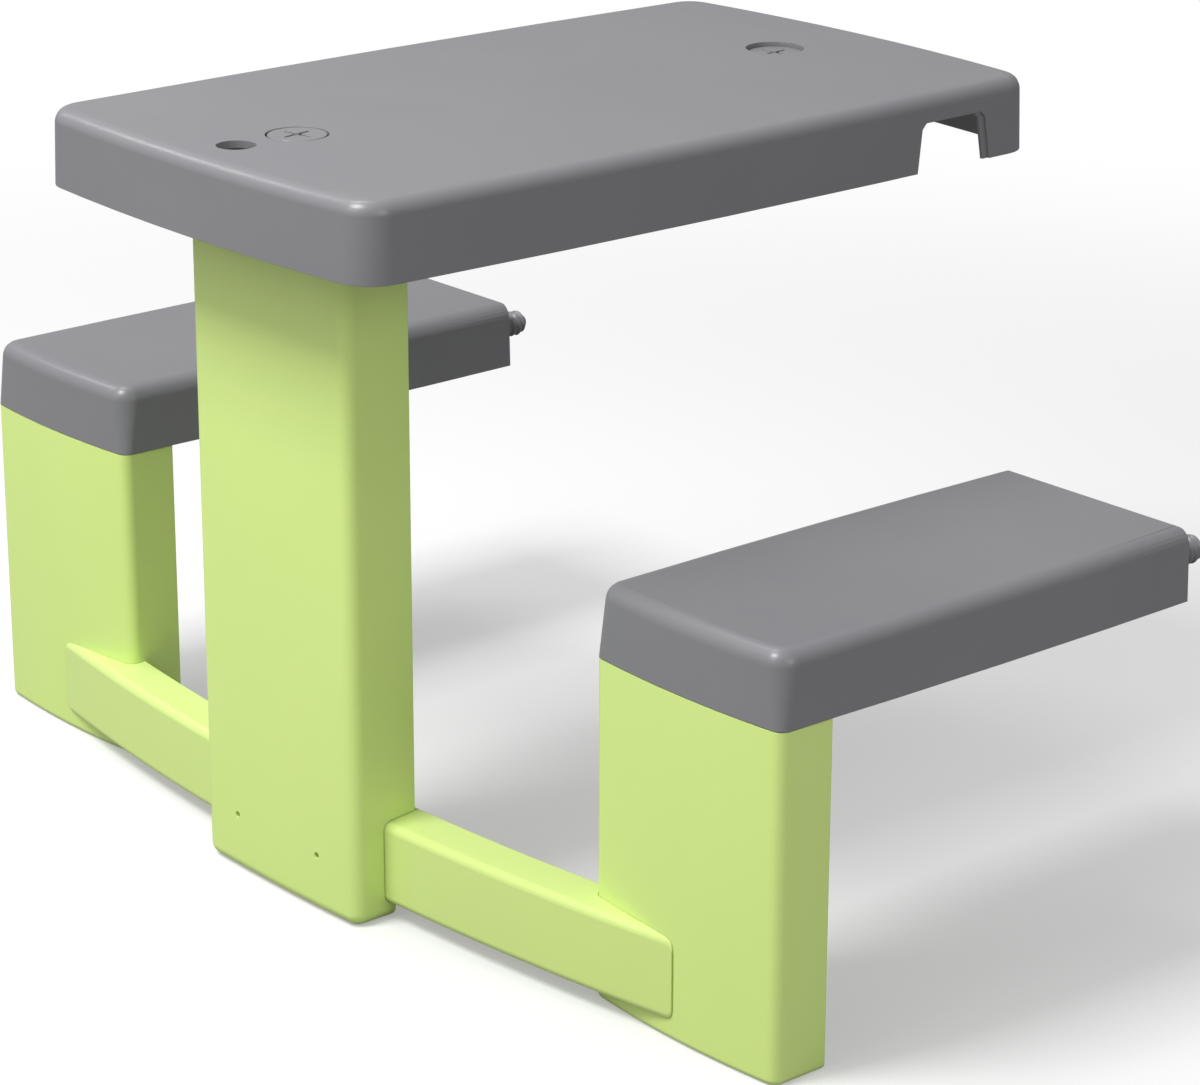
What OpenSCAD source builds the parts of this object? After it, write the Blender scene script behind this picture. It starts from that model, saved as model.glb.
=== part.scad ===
// Picnic table and two benches for a play house, millimetres
// X runs across the set, Y from the free end to the house wall, Z up
// The origin is on the ground, under the middle of the table top

/* [Table top] */
// Length of the table top over both bowed ends
table_l = 526; // [440:1:640]
// Width of the table top at its corners
table_w = 313; // [260:1:380]
// Height of the table top above the ground
table_h = 460; // [380:1:560]
// Depth of the rim round the table top
table_rim = 46; // [38:1:60]
// Bow of each long side
table_side_bow = 5; // [2:0.5:9]
// Bow of the free end
table_near_bow = 8; // [3:0.5:14]
// Bow of the house end
table_far_bow = 11; // [3:0.5:16]
// Radius of the upright corners
table_corner_r = 17.5; // [15:0.5:30]
// Radius of the rolled edge round the top face
table_roll_r = 12; // [6:0.5:13]
// Thickness of the table's top face
table_plate = 4.5; // [3.5:0.5:6]
// Radius of the hole for a pole
pole_r = 11.5; // [8:0.5:14]
// Distance of that hole from the free end
pole_inset = 36.6; // [30:0.2:37]

/* [Benches] */
// Height of the seats above the ground
seat_h = 249; // [220:1:300]
// Length of a bench from its free end to the house wall
bench_l = 319.3; // [280:0.1:360]
// Width of a bench at its ends
bench_w = 150.6; // [140:0.1:180]
// Depth of the rim round a bench
bench_rim = 43.2; // [38:0.1:50]
// Distance of each bench's middle from the middle of the set
bench_x = 306.3; // [290:0.1:360]
// How far a bench's free end lies behind the table's
bench_setback = 100.1; // [85:0.1:115]
// Bow of each long side of a bench
bench_side_bow = 2.3; // [1:0.1:4]
// Bow of a bench's free end
bench_end_bow = 4.2; // [2:0.1:8]
// Radius of a bench's upright corners at the rim
bench_corner_r = 7.6; // [6:0.1:14]
// Radius of the rolled edge round a seat
bench_roll_r = 12.5; // [8:0.5:13]
// Thickness of a bench's top face
bench_plate = 4; // [3:0.5:6]

/* [Pedestal and legs] */
// Width of the pedestal
pedestal_w = 151; // [130:1:170]
// Depth of the pedestal
pedestal_d = 46.8; // [42:0.2:54]
// How far the pedestal's front lies behind the table's free end
pedestal_setback = 51; // [51:0.2:58]
// Bow of the pedestal's front
pedestal_bow = 1.8; // [0.6:0.2:4]
// Radius of the pedestal's front corners
pedestal_corner_r = 8.8; // [5:0.2:12]
// Radius round the foot of the pedestal
pedestal_foot_r = 8; // [4:0.5:9]
// Depth of a leg
leg_d = 41; // [34:0.2:48]
// Radius round the foot of a leg
leg_foot_r = 3.8; // [3.6:0.2:7]
// Height of the neck that plugs into the bench
neck_h = 22; // [16:0.5:24]

/* [Cross bar] */
// How far the bar's foremost point lies behind the table's free end
bar_setback = 73.5; // [70:0.5:76]
// Bow of the bar between the middles of the benches
bar_bow = 26; // [20:0.5:32]
// Depth of the bar from front to back
bar_d = 25.5; // [22:0.5:28]
// Height of the bar's front
bar_h = 51; // [44:0.5:58]
// Height of the bar's underside above the ground
bar_lift = 11; // [9:0.5:16]
// Rise of the bar's top towards its back
bar_rise = 2.5; // [0:0.5:4]
// Radius of the bar's front edges
bar_edge_r = 5.5; // [3:0.5:8]
// Corner radius of each lap's tip
lap_tip_r = 4; // [2:0.5:5]
// How far each lap stops short of the middle of its bench
lap_short = 3.3; // [2:0.1:12]

/* [Shells] */
// Wall thickness of the shells
wall = 3.5; // [3:0.1:3.5]
// Lean of the table's and benches' walls
draft = 1.9; // [0.5:0.1:2.5]
// Thickness of the ribs
rib_t = 2.4; // [1.8:0.1:3]
// Depth of the ribs under the table top
table_rib_d = 12; // [8:0.5:14]
// Depth of the ribs under a seat
bench_rib_d = 20; // [14:0.5:24]

/* [House wall] */
// Gap in the table's rim that takes the house's sill
slot_w = 54.2; // [40:0.2:58]
// How much wider each edge of that gap is at the rim
slot_flare = 4; // [1:0.5:6]
// Step of the hook on the gap's house side
hook_step = 4.5; // [2:0.5:8]
// Radius of the wall studs
stud_r = 8.5; // [6:0.1:9]
// How far the wall studs stand out of the bench
stud_out = 25; // [18:0.5:36]
// Distance between the two studs of a bench
stud_spacing = 122; // [100:0.5:122]
// Depth of the studs' middle below the seat
stud_drop = 19; // [18:0.5:22]

/* [Fasteners] */
// Radius of the large screws' heads
big_head_r = 18; // [14:0.5:20]
// Thickness of the large screws' heads
big_head_t = 4.3; // [3:0.1:5]
// Radius of the large screws' shanks
big_shank_r = 8.5; // [6:0.1:9]
// Length of the large screws' shanks
big_shank_l = 45; // [35:0.5:60]
// Distance of the pedestal's screw from the free end
near_screw_inset = 78.7; // [76:0.1:80]
// How far the house end's screw is sunk below the surface
far_screw_sink = 2.7; // [0:0.1:3]
// Radius of the small screws' shanks
screw_r = 2; // [1.5:0.1:2.2]
// Radius of the small screws' heads
screw_head_r = 4; // [3:0.1:4.5]
// Thickness of the small screws' heads
screw_head_t = 2.6; // [2:0.1:3]
// Distance between the pedestal's two small screws
pedestal_screw_spacing = 80; // [60:1:100]
// Distance between the two lap screws of a leg
lap_screw_spacing = 24; // [18:0.5:28]
// Distance between the two screws up into a bench
bench_screw_spacing = 84; // [60:1:100]

/* [Hidden] */
$fn = 96;

// Clearances and small sizes that several pieces share
fit_gap = 0.3;
seam_gap = 0.4;
screw_gap = 0.1;
boss_wall = 2.6;
overrun = 1;
least_r = 0.2;
flange_out = 1.1;
neck_in = 0.6;
soft_corner = 1.2;
flat_bow = 0.01;

// Steps along a bowed side, round a corner, up a rolled edge and up one that doesn't show
bow_steps = 4;
corner_steps = 6;
roll_steps = 6;
inner_steps = 3;
// Steps along the whole bar
bar_steps = 24;

// Places along Y
near_y = -table_l / 2;
far_y = table_l / 2;
bench_near_y = near_y + bench_setback;
wall_y = bench_near_y + bench_l;
pedestal_y = near_y + pedestal_setback;
pedestal_back_y = pedestal_y + pedestal_d;
leg_back_y = bench_near_y + leg_d;
bar_y = near_y + bar_setback;
pole_y = near_y + pole_inset;
near_screw_y = near_y + near_screw_inset;
far_screw_y = wall_y + slot_w / 2;

// Heights
table_rim_z = table_h - table_rim;
table_under_z = table_h - table_plate;
table_rib_z = table_under_z - table_rib_d;
bench_rim_z = seat_h - bench_rim;
bench_under_z = seat_h - bench_plate;
neck_z = bench_rim_z + neck_h;
stud_z = seat_h - stud_drop;
pocket_floor = 3.5;
pocket_wall = 3;
pocket_r = big_head_r + screw_gap + fit_gap;
pedestal_h = table_h - big_head_t - pocket_floor;
bar_mid_z = bar_lift + bar_h / 2;

// Screws' seats and bosses
pad_t = 1.2;
pad_r = screw_head_r + pad_t;
boss_r = screw_r + boss_wall;
pilot_r = screw_r + screw_gap;
driver_r = screw_head_r + 2 * screw_gap + pad_t;
pedestal_lip = pedestal_d * 0.68;
pedestal_screw_x = pedestal_screw_spacing / 2;
lap_inset = 14;
lap_x = bench_w / 2 - lap_inset;
bench_screw_x = bench_screw_spacing / 2;
bench_screw_y = (bench_near_y + leg_back_y) / 2;
stud_flange_r = stud_r + flange_out;
stud_neck_r = stud_r - neck_in;
stud_flange_t = wall;
stud_key_w = stud_r;
stud_key_l = stud_flange_r + 2 * rib_t;
edge_r = 2;

// Plans: half width, side bow, near end, near bow, far end, far bow
table_plan = [table_w / 2, table_side_bow, near_y, table_near_bow, far_y, table_far_bow];
bench_plan = [bench_w / 2, bench_side_bow, bench_near_y, bench_end_bow, wall_y + 1.2 * bench_roll_r, flat_bow];
pedestal_plan = [pedestal_w / 2, flat_bow, pedestal_y, pedestal_bow, pedestal_y + pedestal_w, flat_bow];
leg_plan = [bench_w / 2, flat_bow, bench_near_y, bench_end_bow, bench_near_y + bench_w, flat_bow];
bench_top_corner_r = bench_roll_r + (bench_rim - bench_roll_r) * tan(draft) + soft_corner;

// Radius of an arc that bulges by a bow over a chord
function arc_r(chord, bow) = (chord * chord / 4 + bow * bow) / (2 * bow);

// Where two circles cross, on the left (1) or right (-1) of the line from a to b
function meet(a, a_r, b, b_r, side) =
    let (d = norm(b - a), u = (b - a) / d, t = (a_r * a_r - b_r * b_r + d * d) / (2 * d))
    a + t * u + side * sqrt(a_r * a_r - t * t) * [-u.y, u.x];

// Points of an arc between two angles, without the ends that are skipped
function arc(c, r, from, to, steps, skip = 0) =
    [for (i = [skip:steps - skip]) c + r * [cos(from + (to - from) * i / steps),
                                            sin(from + (to - from) * i / steps)]];

// Right half of a bowed, round-cornered outline, drawn in from its plan by an inset
function half_outline(plan, inset, corner_r) =
    let (
        chord = plan[4] - plan[5] - plan[2] - plan[3],
        near_r = arc_r(2 * plan[0], plan[3]),
        far_r = arc_r(2 * plan[0], plan[5]),
        side_r = arc_r(chord, plan[1]),
        near_c = [0, plan[2] + near_r],
        far_c = [0, plan[4] - far_r],
        side_c = [plan[0] + plan[1] - side_r, (plan[2] + plan[3] + plan[4] - plan[5]) / 2],
        off = inset + corner_r,
        a = meet(near_c, near_r - off, side_c, side_r - off, 1),
        b = meet(far_c, far_r - off, side_c, side_r - off, -1),
        near_turn = atan2(a.y - near_c.y, a.x - near_c.x),
        far_turn = atan2(b.y - far_c.y, b.x - far_c.x),
        side_from = atan2(a.y - side_c.y, a.x - side_c.x),
        side_to = atan2(b.y - side_c.y, b.x - side_c.x)
    )
    concat(
        [near_c - [0, near_r - inset]],
        arc(near_c, near_r - inset, -90, near_turn, bow_steps, 1),
        arc(a, corner_r, near_turn, side_from, corner_steps),
        arc(side_c, side_r - inset, side_from, side_to, bow_steps, 1),
        arc(b, corner_r, side_to, far_turn, corner_steps),
        arc(far_c, far_r - inset, far_turn, 90, bow_steps, 1),
        [far_c + [0, far_r - inset]]
    );

// Whole outline, anticlockwise, at a height
function ring(plan, level) =
    let (half = half_outline(plan, level[1], max(level[2], least_r)), last = len(half) - 1)
    [
        for (p = half) [p.x, p.y, level[0]],
        for (i = [last - 1:-1:1]) [-half[i].x, half[i].y, level[0]]
    ];

// Levels of a wall that leans in and rolls over into a flat top
function rolled_top(h, roll, inset, foot_r, top_r, from = 0) =
    let (
        seat = (h - roll) * tan(draft) + roll / cos(draft),
        steps = inset > 0 ? inner_steps : roll_steps
    )
    concat(
        [[from, inset + from * tan(draft), foot_r]],
        [for (i = [0:steps])
            let (t = draft + (90 - draft) * i / steps, drawn = seat - roll * cos(t))
            [h - roll + roll * sin(t), inset + drawn, top_r - drawn]]
    );

// Levels of an upright wall that starts from a rolled foot
function rolled_foot(roll, inset, corner_r, from, to) =
    let (steps = inset > 0 ? inner_steps : roll_steps)
    concat(
        [for (i = [0:steps])
            let (t = 90 * i / steps, drawn = roll * (1 - sin(t)))
            [from + roll * (1 - cos(t)), inset + drawn, corner_r - drawn]],
        [[to, inset, corner_r]]
    );

// Closed skin through the outlines at a list of levels
module moulding(plan, levels) {
    rings = [for (level = levels) ring(plan, level)];
    n = len(rings[0]);
    top = len(rings) - 1;
    polyhedron(
        points = [for (r = rings) each r],
        faces = concat(
            [[for (i = [0:n - 1]) i], [for (i = [n - 1:-1:0]) top * n + i]],
            [for (j = [0:top - 1]) for (i = [0:n - 1])
                let (a = j * n + i, b = j * n + (i + 1) % n)
                each [[a, a + n, b + n], [a, b + n, b]]]
        )
    );
}

// Block between two opposite corners
module block(low, high) {
    translate(low) cube(high - low);
}

// Everything in front of a plane across Y
module before(y) {
    intersection() {
        children();
        block([-table_l, -table_l, -table_h], [table_l, y, 2 * table_h]);
    }
}

// Right-hand piece at its bench
module right_side() {
    translate([bench_x, 0, 0]) children();
}

// The same piece on the left, mirrored
module left_side() {
    mirror([1, 0, 0]) right_side() children();
}

// Evenly spread places between two ends
function spread(from, to, count) = [for (i = [1:count]) from + (to - from) * i / (count + 1)];

// Table top

// The gap's outline, which narrows upwards and has its two top corners cut off, run across the table
module slot_cut(near_edge, far_edge) {
    reach = table_w / 2 + table_side_bow + overrun;
    slope = slot_flare / (table_rib_z - table_rim_z);
    low = table_rim_z - overrun;
    out = slot_flare + slope * overrun;
    rotate([90, 0, 90])
        linear_extrude(2 * reach, center = true)
            polygon([
                [near_edge - out, low], [far_edge + out, low],
                [far_edge, table_rib_z - wall], [far_edge - wall, table_rib_z],
                [near_edge + wall, table_rib_z], [near_edge, table_rib_z - wall]
            ]);
}

// Gap for the sill through both long sides, with a thin hook left on its house side
module sill_gap() {
    skin = wall * 0.4;
    slot_cut(wall_y, wall_y + slot_w - hook_step);
    difference() {
        slot_cut(wall_y, wall_y + slot_w);
        translate([0, 0, table_rim_z - 2 * overrun])
            moulding(table_plan, [[0, skin, table_corner_r], [table_rim, skin + table_rim * tan(draft), table_corner_r]]);
    }
}

module table_skin(inset, plate, from = 0) {
    translate([0, 0, table_rim_z])
        moulding(table_plan, rolled_top(table_rim - plate, table_roll_r - inset, inset,
            table_corner_r - inset, table_corner_r - inset, from));
}

module table_ribs() {
    half = table_w / 2;
    back = pedestal_back_y + fit_gap + rib_t;
    for (x = spread(-half, half, 5))
        if (abs(x) > pole_r + rib_t)
            block([x - rib_t / 2, near_y, table_rib_z], [x + rib_t / 2, far_y, table_under_z + wall]);
    for (y = concat(spread(back, wall_y, 4), [wall_y - rib_t]))
        block([-table_w, y - rib_t / 2, table_rib_z], [table_w, y + rib_t / 2, table_under_z + wall]);
}

// Collar that the pedestal's head plugs into
module collar(grow, low) {
    x = pedestal_w / 2 + grow;
    block([-x, pedestal_y - grow, low], [x, pedestal_back_y + grow, table_under_z + overrun]);
}

module pocket(y, sink) {
    floor_z = table_h - big_head_t - sink;
    translate([0, y, floor_z - pocket_floor])
        cylinder(r = pocket_r + pocket_wall, h = table_h - floor_z + pocket_floor - wall);
}

module pocket_cut(y, sink) {
    floor_z = table_h - big_head_t - sink;
    translate([0, y, floor_z]) cylinder(r = pocket_r, h = table_h);
    translate([0, y, 0]) cylinder(r = big_shank_r + fit_gap, h = table_h);
}

module table_top() {
    color("#8f8f93")
    difference() {
        union() {
            difference() {
                table_skin(0, 0);
                table_skin(wall, table_plate, -overrun);
            }
            intersection() {
                table_skin(wall / 2, table_plate / 2);
                union() {
                    difference() {
                        union() {
                            table_ribs();
                            collar(fit_gap + rib_t, table_under_z - 2 * table_rib_d);
                        }
                        collar_room();
                    }
                    pocket(near_screw_y, 0);
                    pocket(far_screw_y, far_screw_sink);
                }
            }
        }
        sill_gap();
        pocket_cut(near_screw_y, 0);
        pocket_cut(far_screw_y, far_screw_sink);
        translate([0, pole_y, 0]) cylinder(r = pole_r, h = table_h + overrun);
    }
}

// Room for the pedestal's head inside the collar
module collar_room() {
    x = pedestal_w / 2 + fit_gap;
    block([-x, pedestal_y - fit_gap, 0], [x, pedestal_back_y + fit_gap, pedestal_h]);
}

// Large screws

// Cross recess in a large head
module cross(span, arm, depth) {
    for (turn = [0, 90])
        rotate([0, 0, turn]) block([-span / 2, -arm / 2, -depth], [span / 2, arm / 2, overrun]);
}

// Large screw with the top of its head at zero
module big_screw() {
    tip = big_shank_r * 0.6;
    color("#8f8f93") {
        difference() {
            translate([0, 0, -big_head_t]) cylinder(r = big_head_r, h = big_head_t);
            cross(big_head_r * 0.83, big_head_r * 0.15, big_head_t * 0.6);
        }
        translate([0, 0, tip - big_head_t - big_shank_l]) cylinder(r = big_shank_r, h = big_shank_l - tip);
        translate([0, 0, -big_head_t - big_shank_l]) cylinder(r1 = tip, r2 = big_shank_r, h = tip);
    }
}

module near_table_screw() {
    translate([0, near_screw_y, table_h]) big_screw();
}

module far_table_screw() {
    translate([0, far_screw_y, table_h - far_screw_sink]) big_screw();
}

// Small screws

// Pan-head screw along +Z with its head's seat at zero
module small_screw(shank) {
    tip = screw_r;
    color("#b9babd") {
        translate([0, 0, -screw_head_t]) cylinder(r = screw_head_r, h = screw_head_t);
        cylinder(r = screw_r, h = shank - tip);
        translate([0, 0, shank - tip]) cylinder(r1 = screw_r, r2 = screw_r / 2, h = tip);
    }
}

// Pedestal

// Y of a bowed front at a distance from its middle
function front_y(plan, x) = plan[2] + arc_r(2 * plan[0], plan[3]) - sqrt(pow(arc_r(2 * plan[0], plan[3]), 2) - x * x);

module pedestal_ribs() {
    low = bar_lift + bar_h + bar_rise;
    for (x = spread(-pedestal_w / 2, pedestal_w / 2, 2))
        block([x - rib_t / 2, pedestal_y, 0], [x + rib_t / 2, pedestal_back_y - rib_t, pedestal_h]);
    for (z = spread(low, pedestal_h, 5))
        block([-pedestal_w, pedestal_y, z - rib_t / 2], [pedestal_w, pedestal_back_y - rib_t, z + rib_t / 2]);
    translate([0, near_screw_y, pedestal_h - big_shank_l + 2 * wall])
        cylinder(r = big_shank_r + screw_gap + boss_wall, h = big_shank_l - 2 * wall);
    for (x = [-pedestal_screw_x, pedestal_screw_x])
        translate([x, pedestal_y, bar_mid_z]) rotate([-90, 0, 0]) cylinder(r = boss_r, h = pedestal_d);
}

module pedestal_skin(inset, top) {
    moulding(pedestal_plan, rolled_foot(pedestal_foot_r - inset, inset, pedestal_corner_r - inset, inset, top));
}

module pedestal() {
    color("#cfe88c")
    difference() {
        before(pedestal_back_y) union() {
            difference() {
                pedestal_skin(0, pedestal_h);
                pedestal_skin(wall, pedestal_h - wall);
            }
            intersection() {
                pedestal_skin(wall / 2, pedestal_h - wall / 2);
                pedestal_ribs();
            }
        }
        bar_form(-fit_gap - screw_gap, asin(pedestal_w / bar_r));
        block([-pedestal_w, pedestal_y + pedestal_lip, -overrun], [pedestal_w, far_y, bar_mid_z]);
        translate([0, near_screw_y, pedestal_h / 2]) cylinder(r = big_shank_r + screw_gap, h = pedestal_h);
        for (x = [-pedestal_screw_x, pedestal_screw_x])
            translate([x, pedestal_y - overrun, bar_mid_z]) rotate([-90, 0, 0]) cylinder(r = pilot_r, h = pedestal_d);
    }
}

// Cross bar

bar_r = arc_r(2 * bench_x, bar_bow);
bar_turn = asin((bench_x - lap_short) / bar_r);
bar_slope = atan(bar_rise / bar_d);

function bar_front_y(x) = bar_y + bar_r - sqrt(bar_r * bar_r - x * x);

// Outline of the bar's section: radius across, height up, drawn in by an inset, with its height squeezed
function bar_outline(inset, back, squeeze) =
    let (
        front = bar_r - inset,
        e = max(bar_edge_r - inset, least_r),
        low = bar_lift + inset + squeeze,
        top = bar_lift + bar_h - inset / cos(bar_slope) - squeeze,
        low_c = [front - e, low + e],
        top_c = [front - e, top + (inset + e) * tan(bar_slope) - e / cos(bar_slope)]
    )
    concat(
        [[back, low]],
        arc(low_c, e, -90, 0, roll_steps),
        arc(top_c, e, 0, 90 - bar_slope, roll_steps),
        [[back, top + (bar_r - back) * tan(bar_slope)]]
    );

// Angle of a length along the bar's front
function bar_angle(along) = along / bar_r * 180 / PI;

// Part of the bar's ring through sections, each a turn from its middle and a squeeze
module bar_ring(inset, back, sections) {
    count = len(bar_outline(inset, back, 0));
    last = count * (len(sections) - 1);
    polyhedron(
        points = [for (s = sections) for (p = bar_outline(inset, back, s[1]))
            [p.x * sin(s[0]), bar_y + bar_r - p.x * cos(s[0]), p.y]],
        faces = concat(
            [[for (j = [count - 1:-1:0]) j], [for (j = [0:count - 1]) last + j]],
            [for (i = [0:len(sections) - 2]) for (j = [0:count - 1])
                [i * count + j, i * count + (j + 1) % count, (i + 1) * count + (j + 1) % count, (i + 1) * count + j]]
        )
    );
}

// Even sections between two turns, without the ends that are skipped
function bar_sections(from, to, steps, skip = 0) =
    [for (i = [skip:steps - skip]) [from + (to - from) * i / steps, 0]];

// Sections of a rounded tip, towards the right (1) or the left (-1)
function tip_sections(side) =
    [for (i = [0:inner_steps]) let (a = 90 * (side > 0 ? i : inner_steps - i) / inner_steps)
        [side * (bar_turn - bar_angle(lap_tip_r * (1 - sin(a)))), lap_tip_r * (1 - cos(a))]];

module bar_form(inset, turn) {
    bar_ring(inset, bar_r - bar_d + inset, bar_sections(-turn, turn, bar_steps));
}

// Space of a leg with a gap round it
module leg_room() {
    moulding(leg_plan, [[-overrun, -fit_gap, bench_corner_r + fit_gap], [table_h, -fit_gap, bench_corner_r + fit_gap]]);
}

module lap_screw_places() {
    for (z = [-lap_screw_spacing / 2, lap_screw_spacing / 2])
        translate([-lap_x, lap_seat_y, bar_mid_z + z]) rotate([90, 0, 0]) children();
}

module bar_bosses() {
    bed = bar_front_y(pedestal_screw_x) + wall + pad_t;
    for (x = [-pedestal_screw_x, pedestal_screw_x])
        translate([x, bed, bar_mid_z]) rotate([90, 0, 0]) cylinder(r = pad_r, h = wall);
    right_side() lap_bosses();
    left_side() lap_bosses();
}

module lap_bosses() {
    lap_screw_places() cylinder(r = boss_r, h = lap_screw_l + wall / 2);
}

module cross_bar() {
    back = bar_r - bar_d;
    rib_turn = bar_angle(rib_t);
    stop = bar_turn - bar_angle(2 * wall);
    tip = bar_turn - bar_angle(lap_tip_r);
    color("#d4ec90")
    difference() {
        union() {
            difference() {
                bar_ring(0, back, concat(
                    tip_sections(-1), bar_sections(-tip, tip, bar_steps, 1), tip_sections(1)));
                bar_ring(wall, back - overrun, bar_sections(-stop, stop, bar_steps));
            }
            for (turn = spread(-bar_turn, bar_turn, 11))
                bar_ring(wall / 2, back + rib_t, bar_sections(turn - rib_turn / 2, turn + rib_turn / 2, 1));
            bar_bosses();
        }
        right_side() leg_room();
        left_side() leg_room();
        right_side() lap_screw_places() cylinder(r = pilot_r, h = lap_screw_l + screw_gap);
        left_side() lap_screw_places() cylinder(r = pilot_r, h = lap_screw_l + screw_gap);
        for (x = [-pedestal_screw_x, pedestal_screw_x])
            translate([x, bar_y + bar_d, bar_mid_z]) rotate([90, 0, 0]) cylinder(r = pilot_r, h = 2 * bar_d);
    }
}

// Legs

lap_seat_y = front_y(leg_plan, lap_x) + wall + pad_t;
lap_screw_l = lap_seat_y - bar_front_y(bench_x - lap_x) - wall;
neck_inset = wall + fit_gap + neck_h * tan(draft);
neck_corner_r = bench_top_corner_r - wall;
shoulder_z = bench_rim_z - seam_gap;

module leg_skin(inset) {
    moulding(leg_plan, concat(
        rolled_foot(leg_foot_r - inset, inset, bench_corner_r - inset, inset, shoulder_z - inset),
        [
            [shoulder_z - inset, neck_inset + inset, neck_corner_r - inset],
            [neck_z - inset, neck_inset + inset, neck_corner_r - inset]
        ]
    ));
}

module leg_ribs() {
    low = bar_lift + bar_h + 2 * rib_t;
    block([-rib_t / 2, bench_near_y, 0], [rib_t / 2, leg_back_y - rib_t, neck_z]);
    for (z = concat([low], spread(low, shoulder_z, 2)))
        block([-bench_w, bench_near_y, z - rib_t / 2], [bench_w, leg_back_y - rib_t, z + rib_t / 2]);
    lap_screw_places() cylinder(r = pad_r, h = pad_t + wall / 2);
}

// Leg of the right bench, about the bench's middle
module leg() {
    color("#cfe88c")
    difference() {
        before(leg_back_y) union() {
            difference() {
                leg_skin(0);
                leg_skin(wall);
            }
            intersection() {
                leg_skin(wall / 2);
                leg_ribs();
            }
        }
        lap_screw_places() translate([0, 0, -leg_d]) cylinder(r = pilot_r, h = 2 * leg_d);
        for (x = [-bench_screw_x, bench_screw_x])
            translate([x, bench_screw_y, -overrun]) {
                cylinder(r = driver_r, h = shoulder_z);
                cylinder(r = pilot_r, h = neck_z + 2 * overrun);
            }
    }
}

// Bench tops

module bench_skin(inset, plate, from = 0) {
    before(wall_y - inset)
        translate([0, 0, bench_rim_z])
            moulding(bench_plan, rolled_top(bench_rim - plate, bench_roll_r - inset, inset,
                bench_corner_r - inset, bench_top_corner_r - inset, from));
}

module bench_ribs() {
    from = leg_back_y + rib_t;
    to = wall_y - wall - stud_flange_t - rib_t;
    low = bench_under_z - bench_rib_d;
    for (x = spread(-bench_w / 2, bench_w / 2, 2))
        block([x - rib_t / 2, from, low], [x + rib_t / 2, wall_y, bench_under_z + wall / 2]);
    for (y = concat([from], spread(from, to, 3), [to - rib_t]))
        block([-bench_w, y - rib_t / 2, low], [bench_w, y + rib_t / 2, bench_under_z + wall / 2]);
    for (x = [-bench_screw_x, bench_screw_x])
        translate([x, bench_screw_y, neck_z]) cylinder(r = boss_r, h = bench_under_z - neck_z + wall / 2);
}

// Guides each side of a stud's key
module stud_guides() {
    for (x = [-stud_spacing / 2, stud_spacing / 2])
        for (side = [-1, 1])
            translate([x + side * (stud_key_w / 2 + fit_gap + rib_t / 2), wall_y - wall, stud_z - stud_key_l])
                block([-rib_t / 2, -stud_flange_t, 0], [rib_t / 2, wall / 2, stud_key_l - stud_flange_r]);
}

// Top of the right bench, about its own middle
module bench_top() {
    color("#8f8f93")
    difference() {
        union() {
            difference() {
                bench_skin(0, 0);
                bench_skin(wall, bench_plate, -overrun);
            }
            intersection() {
                bench_skin(wall / 2, bench_plate / 2);
                bench_ribs();
            }
            stud_guides();
        }
        translate([-bench_w, wall_y, seat_h])
            rotate([0, 90, 0]) difference() {
                block([-overrun, -edge_r, 0], [edge_r, overrun, 2 * bench_w]);
                translate([edge_r, -edge_r, -overrun]) cylinder(r = edge_r, h = 2 * bench_w + 2 * overrun);
            }
        for (x = [-bench_screw_x, bench_screw_x])
            translate([x, bench_screw_y, neck_z - overrun])
                cylinder(r = pilot_r, h = bench_under_z - neck_z - screw_r + overrun);
        for (x = [-stud_spacing / 2, stud_spacing / 2])
            translate([x, wall_y + overrun, stud_z]) rotate([90, 0, 0]) cylinder(r = stud_r + screw_gap, h = wall + 2 * overrun);
    }
}

// Threaded stud through a bench's end wall, with a keyed flange inside
module wall_stud(side) {
    color("#8f8f93")
    translate([side * stud_spacing / 2, wall_y, stud_z]) rotate([-90, 0, 0]) {
        translate([0, 0, -wall - stud_flange_t]) cylinder(r = stud_flange_r, h = stud_flange_t);
        block([-stud_key_w / 2, 0, -wall - stud_flange_t], [stud_key_w / 2, stud_key_l, -wall]);
        translate([0, 0, -wall]) cylinder(r = stud_neck_r, h = wall + fit_gap);
        translate([0, 0, fit_gap]) cylinder(r = stud_r, h = stud_out - stud_r - fit_gap);
        translate([0, 0, stud_out - stud_r]) sphere(stud_r);
    }
}

// Places of the small screws

module pedestal_screw(side) {
    seat = bar_front_y(pedestal_screw_x) + wall + pad_t;
    translate([side * pedestal_screw_x, seat, bar_mid_z])
        rotate([90, 0, 0]) small_screw(seat - pedestal_y - wall - 2 * screw_r);
}

module lap_screw(level) {
    translate([-lap_x, lap_seat_y, bar_mid_z + level * lap_screw_spacing / 2])
        rotate([90, 0, 0]) small_screw(lap_screw_l);
}

module bench_screw(side) {
    translate([side * bench_screw_x, bench_screw_y, neck_z - wall])
        small_screw(bench_under_z - neck_z + wall - 2 * screw_r);
}

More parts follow.
